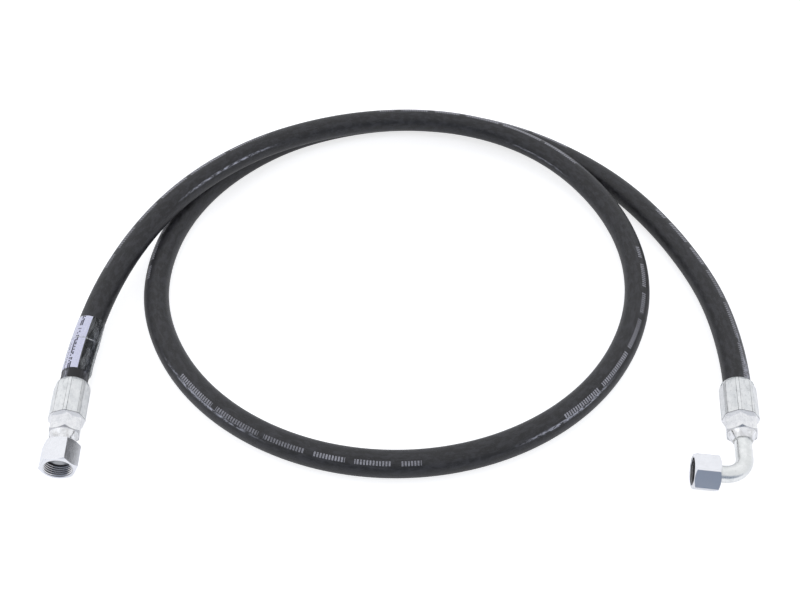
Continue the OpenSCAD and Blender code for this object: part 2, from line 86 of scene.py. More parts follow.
ELBOW_TUBE_R, ELBOW_BORE_R, BEND_R = 0.00635, 0.00485, 0.016
ELBOW_RISE, ELBOW_REACH, SOCKET = 0.0315, 0.0388, 0.008
ELBOW_TUBE_END = 0.01345

LEFT_LEAN, RIGHT_LEAN = math.radians(4.5), math.radians(8.5)
LEFT_AXIS_Z, RIGHT_AXIS_Z = 0.01409, 0.01388
LEFT_MOUTH = np.array([-0.2629, 0.0469, LEFT_AXIS_Z])
RIGHT_MOUTH = np.array([0.2633, 0.0467, RIGHT_AXIS_Z])

LABEL_START, LABEL_LENGTH = 0.0115, 0.0525
LABEL_ANGLES = (68, 208)
LABEL_THICKNESS, FILM_THICKNESS, FILM_OVERHANG = 0.00015, 0.0001, 0.0005

# Route of the hose: x, y and how high its underside is lifted
OVER_ROUTE = [
    (-0.262, 0.0985, 0.0065), (-0.254, 0.1495, 0.0115), (-0.238, 0.1985, 0.017),
    (-0.214, 0.244, 0.022), (-0.1825, 0.285, 0.0245), (-0.144, 0.3195, 0.0255),
    (-0.1, 0.3465, 0.0245), (-0.0515, 0.365, 0.023), (-0.0005, 0.3745, 0.0205),
    (0.051, 0.373, 0.0175), (0.1005, 0.358, 0.014), (0.143, 0.329, 0.0105),
    (0.1755, 0.289, 0.0065), (0.1965, 0.2415, 0.0035), (0.2045, 0.1905, 0.0015),
    (0.199, 0.139, 0.0005),
]
FRONT_ROUTE = [
    (LOOP_X + LOOP_R * math.cos(a), LOOP_Y + LOOP_R * math.sin(a), 0)
    for a in [math.radians(-27.2 - 14.1 * i) for i in range(11)]
]
UNDER_ROUTE = [
    (-0.2165, 0.195, 0), (-0.2075, 0.2455, 0), (-0.1865, 0.293, 0), (-0.155, 0.334, 0),
    (-0.115, 0.367, 0), (-0.0685, 0.389, 0), (-0.018, 0.4005, 0), (0.034, 0.3995, 0),
    (0.084, 0.387, 0), (0.1305, 0.364, 0), (0.171, 0.332, 0), (0.2055, 0.293, 0),
    (0.232, 0.2485, 0), (0.2515, 0.201, 0), (0.264, 0.1505, 0.001), (0.2675, 0.099, 0.002),
]

LEFT_WAY = np.array([-math.sin(LEFT_LEAN), math.cos(LEFT_LEAN), 0])
RIGHT_WAY = np.array([math.sin(RIGHT_LEAN), math.cos(RIGHT_LEAN), 0])
LEFT_FRONT = LEFT_MOUTH - FERRULE_LENGTH * LEFT_WAY
RIGHT_FRONT = RIGHT_MOUTH - FERRULE_LENGTH * RIGHT_WAY


# ---- Colours and shader nodes ----

def tone(red, green, blue):
    """A colour of 0 to 255 as a picture holds it, as the linear one that a shader takes."""
    return tuple(((c / 255 + 0.055) / 1.055) ** 2.4 if c > 10 else c / 255 / 12.92
                 for c in (red, green, blue)) + (1,)


class Nodes:
    """Short calls for the nodes of a material or of the world."""

    def __init__(self, tree):
        self.tree = tree

    def put(self, socket, value):
        if isinstance(value, bpy.types.NodeSocket):
            self.tree.links.new(value, socket)
        else:
            socket.default_value = value

    def node(self, kind, settings=(), **inputs):
        n = self.tree.nodes.new("ShaderNode" + kind)
        for key, value in dict(settings).items():
            setattr(n, key, value)
        for key, value in inputs.items():
            self.put(n.inputs[key.replace("_", " ")], value)
        return n

    def calc(self, operation, a, b=0.0, c=0.0):
        n = self.node("Math", {"operation": operation})
        for socket, value in zip(n.inputs, (a, b, c)):
            self.put(socket, value)
        return n.outputs[0]

    def product(self, first, *others):
        for other in others:
            first = self.calc("MULTIPLY", first, other)
        return first

    def between(self, value, low, high):
        return self.product(self.calc("GREATER_THAN", value, low),
                            self.calc("LESS_THAN", value, high))

    def level(self, value, low, high, to_low=0.0, to_high=1.0):
        """value from low..high to to_low..to_high, with soft ends."""
        n = self.node("MapRange", {"interpolation_type": "SMOOTHSTEP"}, Value=value,
                      From_Min=low, From_Max=high, To_Min=to_low, To_Max=to_high)
        return n.outputs[0]

    def blend(self, share, a, b):
        """A colour between two."""
        n = self.node("Mix", {"data_type": "RGBA"})
        for index, value in ((0, share), (6, a), (7, b)):
            self.put(n.inputs[index], value)
        return n.outputs[2]

    def mixed(self, share, first, second):
        """A shader between two."""
        n = self.node("MixShader")
        for socket, value in zip(n.inputs, (share, first, second)):
            self.put(socket, value)
        return n.outputs[0]

    def parts(self, vector):
        n = self.node("SeparateXYZ", Vector=vector)
        return n.outputs[0], n.outputs[1], n.outputs[2]

    def rays(self):
        """Masks of the rays that see white, the camera's and those that clear film lets through,
        and of those that a gloss mirrors."""
        path = self.node("LightPath").outputs
        return (self.calc("MAXIMUM", path["Is Camera Ray"], path["Is Transmission Ray"]),
                path["Is Glossy Ray"])


class Finish(Nodes):
    """A material and short calls for its nodes."""

    def __init__(self, name, **plain):
        self.material = bpy.data.materials.new(name)
        self.material.use_nodes = True
        super().__init__(self.material.node_tree)
        self.body = self.tree.nodes["Principled BSDF"]
        self.out = [n for n in self.tree.nodes if n.type == "OUTPUT_MATERIAL"][0]
        for key, value in plain.items():
            self.body.inputs[key.replace("_", " ")].default_value = value

    def metres(self):
        """The piece's own map: along and round it, in metres."""
        return self.node("UVMap", {"uv_map": "metres"}).outputs[0]

    def place(self):
        return self.node("TexCoord").outputs["Object"]

    def joined(self, x, y):
        return self.node("CombineXYZ", X=x, Y=y).outputs[0]

    def length(self, vector):
        n = self.node("VectorMath", {"operation": "LENGTH"})
        self.put(n.inputs[0], vector)
        return n.outputs["Value"]

    def stretched(self, vector, *factors):
        n = self.node("VectorMath", {"operation": "MULTIPLY"})
        self.put(n.inputs[0], vector)
        n.inputs[1].default_value = factors
        return n.outputs[0]

    def noise(self, vector, size, detail=2.0, roughness=0.5, distortion=0.0):
        """Noise whose marks are about size metres wide."""
        n = self.node("TexNoise", Vector=vector, Scale=1 / size, Detail=detail,
                      Roughness=roughness, Distortion=distortion)
        return n.outputs[0]

    def white(self, vector):
        return self.node("TexWhiteNoise", {"noise_dimensions": "2D"}, Vector=vector).outputs[0]

    def bump(self, height, depth, strength=1.0, normal=None):
        """Bump of that depth in metres for a height of 0 to 1."""
        n = self.node("Bump", Height=height, Distance=depth, Strength=strength)
        if normal is not None:
            self.put(n.inputs["Normal"], normal)
        return n.outputs[0]

    def surface(self, shader):
        self.put(self.out.inputs["Surface"], shader)
        return self.material

    def done(self, colour, roughness, normal):
        for key, value in (("Base Color", colour), ("Roughness", roughness), ("Normal", normal)):
            self.put(self.body.inputs[key], value)
        return self.material


# ---- Camera, light and floor ----

DULL_FRONT = (0.245, 0.285, 0.36, 1)
BRIGHT_SKY = (0.86, 0.87, 0.89, 1)
FLOOR_HALF, FLOOR_SINK = 6, 0.0001
FLOOR_GLOW, FLOOR_MIRRORED = 0.74, 0.42
FLOOR_FADE = (-0.3, -0.12)          # where, in Y, mirrored floor turns from dull to bright


def make_camera():
    data = bpy.data.cameras.new("camera")
    data.lens, data.sensor_width, data.clip_start = 45, 36, 0.01
    camera = bpy.data.objects.new("camera", data)
    camera.location = (-0.0038, -0.4488, 0.636)
    camera.rotation_euler = (math.radians(43.5), 0, 0)
    bpy.context.scene.collection.objects.link(camera)
    bpy.context.scene.camera = camera


def make_lamp(name, place, aim, size, power):
    data = bpy.data.lights.new(name, "AREA")
    data.shape, data.size, data.energy = "DISK", size, power
    lamp = bpy.data.objects.new(name, data)
    lamp.rotation_euler = (Vector(place) - Vector(aim)).to_track_quat("Z", "Y").to_euler()
    lamp.location = place
    bpy.context.scene.collection.objects.link(lamp)


def make_world():
    """White as seen by the camera. It lights the object from a bright top, back and sides and a
    duller front."""
    world = bpy.data.worlds.new("studio")
    bpy.context.scene.world = world
    world.use_nodes = True
    world.node_tree.nodes.clear()
    f = Nodes(world.node_tree)
    x, y, z = f.parts(f.node("TexCoord").outputs["Generated"])
    up_or_back = f.calc("MULTIPLY_ADD", y, 0.5, z)
    or_sideways = f.calc("MULTIPLY_ADD", f.product(x, x), 0.6, up_or_back)
    shade = f.blend(f.level(or_sideways, -0.1, 0.43), DULL_FRONT, BRIGHT_SKY)
    sky = f.node("Background", Color=shade)
    white = f.node("Background", Color=(1, 1, 1, 1))
    seen = f.mixed(f.rays()[0], sky.outputs[0], white.outputs[0])
    f.put(f.node("OutputWorld").inputs[0], seen)


def make_floor_material():
    """White as seen by the camera. A gloss mirrors it less bright, and far in front as dull as the
    sky there."""
    f = Finish("floor", Base_Color=(0.6, 0.61, 0.64, 1), Roughness=0.9, Specular_IOR_Level=0)
    direct, glossy = f.rays()
    glow = f.node("Emission", Strength=f.calc("MULTIPLY_ADD", direct, FLOOR_GLOW,
                                              f.product(glossy, FLOOR_MIRRORED)))
    bright = f.node("AddShader")
    f.put(bright.inputs[0], f.body.outputs[0])
    f.put(bright.inputs[1], glow.outputs[0])
    dull = f.node("Emission", Color=DULL_FRONT)
    in_front = f.level(f.parts(f.place())[1], *FLOOR_FADE, 1, 0)
    return f.surface(f.mixed(f.product(in_front, glossy), bright.outputs[0], dull.outputs[0]))


def make_floor():
    half = FLOOR_HALF
    mesh = bpy.data.meshes.new("floor")
    mesh.from_pydata([(-half, -half, 0), (half, -half, 0), (half, half, 0), (-half, half, 0)],
                     [], [(0, 1, 2, 3)])
    floor = bpy.data.objects.new("floor", mesh)
    floor.location.z = -FLOOR_SINK
    bpy.context.scene.collection.objects.link(floor)
    mesh.materials.append(make_floor_material())


make_camera()
make_world()
make_lamp("top_lamp", (-0.25, 0.9, 1.6), (0, 0.2, 0), 2.4, 1.4)
make_lamp("side_lamp", (-1.2, 0.1, 1.2), (0, 0.15, 0), 1.6, 1.3)
make_floor()


# ---- Meshes ----

def drop_flat_faces(mesh):
    """Joins points that lie on each other, which takes away the faces without area there."""
    work = bmesh.new()
    work.from_mesh(mesh)
    bmesh.ops.dissolve_degenerate(work, dist=1e-6, edges=work.edges)
    work.to_mesh(mesh)
    work.free()


def grid_map(along, across):
    """A map for a grid, from the places of its rows and columns in metres."""
    return np.stack(np.meshgrid(along, across, indexing="ij"), -1)


def grid_object(name, points, uv, wrap_rows=False, wrap_cols=True, flip=False, place=None,
                smooth_angle=35):
    """A mesh from rows of points. uv has one row or column more where the grid wraps."""
    rows, cols = points.shape[:2]
    row = np.arange(rows if wrap_rows else rows - 1)[:, None]
    col = np.arange(cols if wrap_cols else cols - 1)[None, :]
    down, right = (row + 1) % rows, (col + 1) % cols
    quads = [row * cols + col, row * cols + right, down * cols + right, down * cols + col]
    corners = [uv[row, col], uv[row, col + 1], uv[row + 1, col + 1], uv[row + 1, col]]
    if flip:
        quads, corners = quads[::-1], corners[::-1]
    faces = np.stack(quads, -1).reshape(-1, 4)
    mesh = bpy.data.meshes.new(name)
    mesh.from_pydata(points.reshape(-1, 3).tolist(), [], faces.tolist())
    layer = mesh.uv_layers.new(name="metres")
    layer.data.foreach_set("uv", np.stack(corners, 2).reshape(-1).astype(np.float32))
    drop_flat_faces(mesh)
    mesh.shade_smooth()
    mesh.set_sharp_from_angle(angle=math.radians(smooth_angle))
    thing = bpy.data.objects.new(name, mesh)
    if place is not None:
        thing.matrix_world = place
    bpy.context.scene.collection.objects.link(thing)
    return thing


def axes(origin, x, y, z):
    """Matrix of a frame with those axes."""
    m = Matrix.Identity(4)
    for column, vector in enumerate((x, y, z, origin)):
        for line in range(3):
            m[line][column] = float(vector[line])
    return m


def dress(piece, material, body, node=None):
    """Gives a piece its material, slot and body, and hides the CAD node that it replaces."""
    piece.data.materials.append(material)
    if node:
        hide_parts(node)
    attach(piece, body)
    return piece


def loft(name, rings, angles, place, smooth_angle):
    """A closed turned or hexagonal piece round local Z. A ring is (radius, height), each a
    number or one per angle."""
    n = len(angles)
    radius = np.array([np.broadcast_to(r, n) for r, s in rings])
    height = np.array([np.broadcast_to(s, n) for r, s in rings])
    points = np.stack([radius * np.cos(angles), radius * np.sin(angles), height], -1)
    steps = np.hypot(np.diff(radius.mean(1)), np.diff(height.mean(1)))
    along = np.concatenate([[0], np.cumsum(steps), [steps.sum() + 0.001]])
    round_ = np.append(angles, angles[0] + 2 * math.pi) * radius.mean()
    piece = grid_object(name, points, grid_map(along, round_), wrap_rows=True, place=place,
                        smooth_angle=smooth_angle)
    even = piece.modifiers.new("even_flats", "WEIGHTED_NORMAL")
    even.keep_sharp = True
    return piece


def even_angles(count):
    return np.linspace(0, 2 * math.pi, count, endpoint=False)


def hexagon(apothem, round_r, first_corner=0):
    """Angles round a hexagon, close together at its corners, and its radius at each of them. Its
    corners are rounded, and the first one is at first_corner degrees."""
    near = np.array([0.5, 1.2, 2.2])        # degrees from a corner
    flat = np.linspace(near[-1], 60 - near[-1], 20)[1:-1]
    one = np.concatenate([[0], near, flat, 60 - near[::-1]])
    angles = np.radians(np.concatenate([first_corner + 60 * k + one for k in range(6)]))
    half = math.pi / 6
    off = (angles - math.radians(first_corner) + half) % (2 * half) - half
    middle = (apothem - round_r) / math.cos(half)
    edge = math.atan2(round_r * math.sin(half), middle + round_r * math.cos(half))
    arc = middle * np.cos(off) + np.sqrt(np.maximum(
        round_r ** 2 - (middle * np.sin(off)) ** 2, 0))
    return angles, np.where(np.abs(off) < edge, arc, apothem / np.cos(half - np.abs(off)))


def hex_rings(radius, low_face_r, face_r, low, high):
    """Rings of a hexagon bar whose corners are turned off at both ends, down to the radius of each
    end's face."""
    fillet = 0.0002
    rise, low_rise = (np.maximum(radius - r, 0) * math.tan(HEX_ANGLE) for r in (face_r, low_face_r))
    soft, low_soft = np.minimum(fillet, rise), np.minimum(fillet, low_rise)
    return [
        (np.minimum(radius, low_face_r), low),
        (radius - low_soft * 0.9, low + low_rise - low_soft),
        (radius, low + low_rise + low_soft * 0.6),
        (radius, high - rise - soft * 0.6), (radius - soft * 0.9, high - rise + soft),
        (np.minimum(radius, face_r), high),
    ]


# ---- The hose's middle line ----

def lifted(points):
    return [(x, y, z + HOSE_R) for x, y, z in points]


def route_points():
    """Straight out of the left ferrule, over, round the front, under and into the right ferrule."""
    straight = 0.002        # how far the hose stays straight past a ferrule's mouth

    def run(front, mouth, way):
        start = front + HOSE_START * way
        end = mouth + straight * way
        return [start + (end - start) * f for f in (0, 0.3, 0.65, 1)]
    left = run(LEFT_FRONT, LEFT_MOUTH, LEFT_WAY)
    right = run(RIGHT_FRONT, RIGHT_MOUTH, RIGHT_WAY)
    middle = lifted(OVER_ROUTE) + lifted(FRONT_ROUTE) + lifted(UNDER_ROUTE)
    return np.array(left + [np.array(p) for p in middle] + right[::-1])


def strides(line):
    """Distance from each point of a line to the next."""
    return np.linalg.norm(np.diff(line, axis=0), axis=1)


def travelled(line):
    """Distance along a line to each of its points."""
    return np.concatenate([[0], np.cumsum(strides(line))])


def fair_curve(points, step):
    """Points about a step apart on the natural cubic spline through the given ones, and how far
    along it each of them is."""
    gap, knot = strides(points), travelled(points)
    n = len(points)
    system, right = np.eye(n), np.zeros((n, 3))
    for i in range(1, n - 1):
        system[i, i - 1:i + 2] = gap[i - 1], 2 * (gap[i - 1] + gap[i]), gap[i]
        right[i] = 6 * ((points[i + 1] - points[i]) / gap[i]
                        - (points[i] - points[i - 1]) / gap[i - 1])
    bend = np.linalg.solve(system, right)
    fine = np.linspace(0, knot[-1], 4000)
    k = np.clip(np.searchsorted(knot, fine) - 1, 0, n - 2)
    a, b = (knot[k + 1] - fine)[:, None], (fine - knot[k])[:, None]
    h = gap[k][:, None]
    curve = (bend[k] * a ** 3 + bend[k + 1] * b ** 3) / (6 * h) \
        + (points[k] / h - bend[k] * h / 6) * a + (points[k + 1] / h - bend[k + 1] * h / 6) * b
    curve[:, 2] = np.maximum(curve[:, 2], HOSE_R)
    travel = travelled(curve)
    even = np.linspace(0, travel[-1], int(round(travel[-1] / step)) + 1)
    return np.stack([np.interp(even, travel, curve[:, c]) for c in range(3)], -1), even


LINE, TRAVEL = fair_curve(route_points(), 0.004)


def units(vectors):
    return vectors / np.linalg.norm(vectors, axis=1)[:, None]


def around(line, radius, angles):
    """Rings of points round a line. radius and angles (radians) have a column for each point of
    a ring, and the angles go from the right of the line's way to its upper side."""
    way = units(np.gradient(line, axis=0))
    side = units(np.cross(way, [0, 0, 1]))
    up = np.cross(side, way)
    shape = (len(line), len(angles))
    r = np.broadcast_to(radius, shape)[..., None]
    return line[:, None] + r * (np.cos(angles)[None, :, None] * side[:, None]
                                + np.sin(angles)[None, :, None] * up[:, None])


def tube_layer(name, line, travel, outer, inner, count, print_angle=None):
    """A hollow tube along a line. Its map runs in metres along and round it from the print line."""
    angles = np.radians(-90) + even_angles(count)
    both = np.concatenate([around(line, outer, angles), around(line, inner, angles)[::-1]])
    turn = np.append(angles, angles[0] + 2 * math.pi)
    zero = np.zeros(len(line)) if print_angle is None else np.radians(print_angle)
    uv = np.zeros((len(both) + 1, count + 1, 2))
    for rows, along, shift in ((slice(0, len(line)), travel, zero),
                               (slice(len(line), 2 * len(line)), travel[::-1], zero[::-1])):
        uv[rows, :, 0] = along[:, None]
        uv[rows, :, 1] = (turn[None, :] - shift[:, None]) * outer
    uv[-1] = uv[0]
    return grid_object(name, both, uv, wrap_rows=True, flip=True)


# ---- Materials ----

# Line of print: where it runs, as distance along the hose in metres and its side in degrees, then
# the start and the repeat of its blocks, the gaps in one block, and its ticks
PRINT_PLACES = [(0, 123), (0.16, 119), (0.3, 108), (0.55, 102), (0.8, 110), (0.9, 120), (1.0, 123),
                (1.15, 124), (1.34, 118), (1.45, 128), (1.5, 122), (2.08, 107), (2.28, 117),
                (2.34, 118)]
PRINT_START, PRINT_PERIOD, PRINT_BLOCK = 0.145, 0.326, 0.21
PRINT_GAPS = [(0.0185, 0.0035), (0.052, 0.0035), (0.083, 0.0035), (0.122, 0.0025), (0.168, 0.0025)]
TICK_PITCH, TICK_HEIGHT, TICK_SHARE = 0.0023, 0.0036, 0.58
WEAVE_PITCH, BRAID_PITCH = 0.0008, 0.0012

# Plain marks on the label: distance round it, pitch, height, rows, share left out, seed and how far
# along they go
LABEL_MARKS = [(0.0186, 0.0014, 0.0016, 2, 0.3, 11, 1), (0.0236, 0.0009, 0.001, 2, 0.35, 5, 0.066)]

# Where the clear film starts along the hose, how far from there it has a crease, and the side of
# the hose on which it stands loose
FILM_START = FERRULE_LENGTH - HOSE_START + LABEL_START - FILM_OVERHANG
FILM_CREASE, LOOSE_SIDE = 0.031, math.radians(-8)

# Rub marks on the hose: start and end along it, distance round it from the line of print, half
# width and strength
SCUFF_PLACES = [(0.23, 0.37, -0.0152, 0.0016, 1), (0.6, 0.69, -0.0175, 0.0013, 0.55),
                (0.94, 1.06, 0.0029, 0.0017, 1), (1.23, 1.37, 0.003, 0.0016, 0.9),
                (0.5, 0.72, 0.0012, 0.001, 0.5), (2.24, 2.32, 0.0006, 0.0014, 0.6),
                (0.02, 0.044, -0.0005, 0.004, 0.7), (0.02, 0.1, -0.018, 0.006, 0.4),
                (2.283, 2.316, 0.002, 0.005, 0.9), (2.16, 2.31, 0.0045, 0.0015, 0.3)]


def dashes(f, along, across, pitch, row_height, rows, gap_share, seed):
    """Rows of plain dashes with gaps between groups: 1 on a dash. along and across: metres."""
    line = f.calc("DIVIDE", across, row_height)
    row, high = f.calc("FLOOR", line), f.calc("FRACT", line)
    cell = f.calc("FLOOR", f.calc("DIVIDE", along, pitch))
    filled = f.calc("GREATER_THAN", f.white(f.joined(f.calc("ADD", cell, seed), row)), gap_share)
    return f.product(f.between(row, -0.5, rows - 0.5), f.between(high, 0.1, 0.9), filled)


def print_line(f, along, across, where):
    """The line of print on the hose, as plain upright ticks in groups: they spell nothing."""
    periods = f.calc("DIVIDE", f.calc("SUBTRACT", along, PRINT_START), PRINT_PERIOD)
    place = f.product(PRINT_PERIOD, f.calc("FRACT", periods))
    inked = f.calc("LESS_THAN", place, PRINT_BLOCK)
    for middle, half in PRINT_GAPS:
        inked = f.calc("SUBTRACT", inked, f.calc("COMPARE", place, middle, half))
    inked = f.calc("MAXIMUM", inked, 0.0)
    ticks = f.calc("LESS_THAN", f.calc("FRACT", f.calc("DIVIDE", along, TICK_PITCH)), TICK_SHARE)
    tall = f.calc("LESS_THAN", f.calc("ABSOLUTE", across), TICK_HEIGHT / 2)
    worn = f.level(f.noise(where, 0.0014, 3, 0.7), 0.3, 0.6, 0.35, 1)
    faded = f.level(f.noise(f.joined(along, 7.0), 0.09, 1), 0.35, 0.6, 0.55, 1)
    return f.product(inked, ticks, tall, worn, faded)


def scuffs(f, along, across, where):
    """Light rub marks that run along the hose, at the places in SCUFF_PLACES."""
    rough = f.level(f.noise(f.stretched(where, 0.3, 1, 1), 0.0016, 4, 0.75), 0.4, 0.62)
    total = 0.0
    for start, end, side, width, amount in SCUFF_PLACES:
        middle, half = (start + end) / 2, (end - start) / 2
        lengthwise = f.calc("ABSOLUTE", f.calc("SUBTRACT", along, middle))
        sideways = f.calc("ABSOLUTE", f.calc("SUBTRACT", across, side))
        one = f.product(f.level(lengthwise, half * 0.3, half, 1, 0),
                        f.level(sideways, 0, width, 1, 0), amount)
        total = f.calc("MAXIMUM", total, one)
    return f.product(total, rough)


def make_hose_rubber():
    f = Finish("hose_rubber", Specular_IOR_Level=0.5)
    where = f.metres()
    along, across, _ = f.parts(where)
    broad = f.noise(where, 0.05, 3, 0.6)
    patches = f.noise(f.stretched(where, 0.5, 1, 1), 0.0045, 4, 0.65)
    streaks = f.noise(f.stretched(where, 0.12, 1, 1), 0.0022, 3, 0.55)
    grain = f.noise(where, 0.0009, 3, 0.7)
    dust = f.noise(where, 0.0016, 5, 0.75)
    colour = f.blend(f.level(broad, 0.3, 0.7), tone(15, 15, 18), tone(24, 24, 27))
    colour = f.blend(f.level(patches, 0.42, 0.62, 0, 0.85), colour, tone(50, 50, 55))
    colour = f.blend(f.level(streaks, 0.55, 0.75, 0, 0.45), colour, tone(62, 62, 67))
    colour = f.blend(f.level(grain, 0.4, 0.7, 0, 0.35), colour, tone(52, 52, 57))
    colour = f.blend(f.level(dust, 0.6, 0.75, 0, 0.55), colour, tone(110, 110, 116))
    # painted shade: the rubber up to the film's end is painted darker, for its duller sheen under
    # the film
    film_end = FILM_START + LABEL_LENGTH
    colour = f.blend(f.level(along, film_end, film_end + 0.001, 0.85, 0), colour, tone(10, 10, 13))
    colour = f.blend(scuffs(f, along, across, where), colour, tone(198, 200, 214))
    colour = f.blend(print_line(f, along, across, where), colour, tone(168, 168, 178))
    wave = 2 * math.pi / WEAVE_PITCH
    weave = f.product(*(f.calc("SINE", f.product(f.calc(way, along, across), wave))
                        for way in ("ADD", "SUBTRACT")))
    normal = f.bump(weave, 0.00002, 0.6)
    normal = f.bump(grain, 0.00012, 1.0, normal)
    normal = f.bump(patches, 0.0003, 0.7, normal)
    rough = f.level(patches, 0.3, 0.7, 0.38, 0.52)
    return f.done(colour, rough, normal)


def make_braid_wire():
    f = Finish("braid_wire", Metallic=1.0)
    along, across, _ = f.parts(f.metres())
    one, two = (f.calc("FRACT", f.calc("DIVIDE", f.calc(way, along, across), BRAID_PITCH))
                for way in ("ADD", "SUBTRACT"))
    wires = f.calc("MAXIMUM", f.calc("ABSOLUTE", f.calc("SUBTRACT", one, 0.5)),
                   f.calc("ABSOLUTE", f.calc("SUBTRACT", two, 0.5)))
    colour = f.blend(f.level(wires, 0.3, 0.5), tone(206, 186, 140), tone(96, 80, 52))
    return f.done(colour, f.level(f.noise(f.metres(), 0.002), 0.3, 0.7, 0.28, 0.45),
                  f.bump(wires, 0.0002))


def make_tube_rubber():
    f = Finish("tube_rubber")
    where = f.metres()
    patches = f.noise(where, 0.004, 3)
    colour = f.blend(f.level(patches, 0.3, 0.7), tone(28, 28, 30), tone(44, 44, 46))
    return f.done(colour, f.level(patches, 0.3, 0.7, 0.45, 0.6), f.bump(patches, 0.00008))


def make_label_paper():
    f = Finish("label_paper", Specular_IOR_Level=0.4)
    where = f.metres()
    along, across, _ = f.parts(where)
    mottle = f.noise(where, 0.0016, 3)
    colour = f.blend(f.level(mottle, 0.3, 0.7), tone(222, 222, 246), tone(236, 236, 254))
    blocks = f.calc("GREATER_THAN", f.noise(f.joined(along, 4.0), 0.007, 1), 0.31)
    for start, pitch, height, rows, gaps, seed, end in LABEL_MARKS:
        marks = dashes(f, along, f.calc("SUBTRACT", across, start), pitch, height, rows, gaps, seed)
        marks = f.product(marks, f.calc("LESS_THAN", along, end), blocks, 0.95)
        colour = f.blend(marks, colour, tone(34, 32, 64))
    return f.done(colour, f.level(mottle, 0.3, 0.7, 0.4, 0.55), f.bump(mottle, 0.00003))


def make_label_clear():
    """Clear film: gloss that grows towards its edges, haze where air is under it, a crease, a
    darker tint over bare rubber as painted shade and a white painted sheen where it is seen
    edge-on.
    """
    f = Finish("label_clear")
    where = f.metres()
    along, across, _ = f.parts(where)
    ripple = f.noise(f.stretched(where, 1, 0.35, 1), 0.004, 3, 0.55, 0.4)
    fine = f.noise(where, 0.0012, 3)
    normal = f.bump(fine, 0.00004, 0.6, f.bump(ripple, 0.0002, 0.6))
    facing = f.node("LayerWeight", Blend=0.5, Normal=normal).outputs["Facing"]
    beside_label = f.calc("LESS_THAN", across, HOSE_R * math.radians(LABEL_ANGLES[0]) - 0.0005)
    # painted shade: beside the label, over bare rubber, the film is tinted darker to darken the
    # rubber seen through it
    clear = f.node("BsdfTransparent", Color=f.blend(beside_label, (0.97, 0.972, 0.975, 1),
                                                    (0.81, 0.82, 0.825, 1)))
    gloss = f.node("BsdfGlossy", Color=(0.96, 0.97, 0.98, 1), Normal=normal,
                   Roughness=f.level(fine, 0.3, 0.7, 0.1, 0.2))
    share = f.calc("MULTIPLY_ADD", f.calc("POWER", facing, 4.0), 0.5, 0.012)
    glossy = f.mixed(share, clear.outputs[0], gloss.outputs[0])
    pockets = f.noise(f.stretched(where, 0.35, 1.4, 1), 0.008, 2, 0.5, 0.6)
    air = f.level(pockets, 0.48, 0.56, 0, 0.11)
    streaks = f.level(f.noise(f.stretched(where, 0.1, 1, 1), 0.0013, 3), 0.35, 0.65, 0.35, 1)
    bent = f.calc("ADD", along, f.level(ripple, 0.3, 0.7, -0.0006, 0.0006))
    off = f.calc("ABSOLUTE", f.calc("SUBTRACT", bent, FILM_START + FILM_CREASE))
    crease = f.product(f.level(off, 0.0003, 0.001, 0.5, 0), f.level(fine, 0.35, 0.6, 0.4, 1),
                       f.level(across, 0.002, 0.009, 0, 1))
    haze_and_sheen = f.calc("MAXIMUM", f.product(beside_label, air, streaks), crease)
    # painted sheen: white where the film is seen at a grazing angle
    haze_and_sheen = f.calc("MAXIMUM", haze_and_sheen, f.product(f.calc("POWER", facing, 7.0), 0.6))
    dull = f.node("BsdfDiffuse", Color=tone(226, 228, 232), Normal=normal)
    return f.surface(f.mixed(haze_and_sheen, glossy, dull.outputs[0]))


def zinc_marks(f, where, radius, z, lines):
    """The marks that turning, drawing or pressing left under the plating."""
    if lines == "turned":
        return f.noise(f.joined(radius, z), 0.00035, 2, 0.6)
    if lines == "drawn":
        return f.noise(f.stretched(where, 1, 1, 0.04), 0.0005, 3, 0.6)
    return f.noise(f.stretched(where, 1, 1, 0.25), 0.0011, 4, 0.65)


def crimp_painted_light_and_shade(f, where, x, y, z, colour):
    """Painted shade in the creases beside the crimp's ridges, a painted highlight on the front face
    and a painted shadow line round it.
    """
    turn = f.calc("DIVIDE", f.calc("ARCTAN2", y, x), math.radians(2 * HALF_FLAT))
    beside = f.calc("ABSOLUTE", f.calc("SUBTRACT", f.calc("FRACT", turn), 0.5))
    from_edge = f.calc("ABSOLUTE", f.calc("SUBTRACT", beside, CREASE_TURN / (2 * HALF_FLAT)))
    uneven = f.level(f.noise(f.stretched(where, 1, 1, 0.3), 0.004, 3), 0.35, 0.6, 0.35, 0.95)
    # painted shade: the creases beside the ridges are painted darker
    crease = f.product(f.level(from_edge, 0.006, 0.02, 1, 0), uneven)
    colour = f.blend(crease, colour, tone(84, 85, 90))
    # painted highlight: the front face is painted near white
    colour = f.blend(f.level(z, -0.0003, -0.0001), colour, tone(254, 254, 255))
    # painted shadow: a thin dark line is painted round the front edge
    edge = f.calc("ABSOLUTE", f.calc("ADD", z, 0.0005))
    return f.blend(f.level(edge, 0.0002, 0.0004, 0.75, 0), colour, tone(96, 97, 102))


def collar_blotches_and_painted_shade(f, where, radius, z, colour):
    """Soft blotches on a stem's collar, and painted shade on the chamfers of its hexagon's corners.
    """
    blotches = f.product(f.level(f.noise(where, 0.004, 1), 0.36, 0.64),
                         f.level(z, HEX_LENGTH, HEX_LENGTH + 0.0004, 0, 0.35))
    colour = f.blend(blotches, colour, tone(176, 174, 172))
    # painted shade: the chamfers on the hexagon's corners, by the collar, are painted darker
    slope = math.tan(HEX_ANGLE)
    cone = f.calc("MULTIPLY_ADD", radius, slope, z)
    off = f.calc("ABSOLUTE", f.calc("SUBTRACT", cone,
                                    HEX_LENGTH + (LEFT_COLLAR_R + COLLAR_LIP) * slope))
    chamfer = f.product(f.level(off, 0.0001, 0.0002, 0.45, 0),
                        f.calc("GREATER_THAN", radius, RIGHT_COLLAR_R + 0.0003))
    return f.blend(chamfer, colour, tone(110, 112, 118))


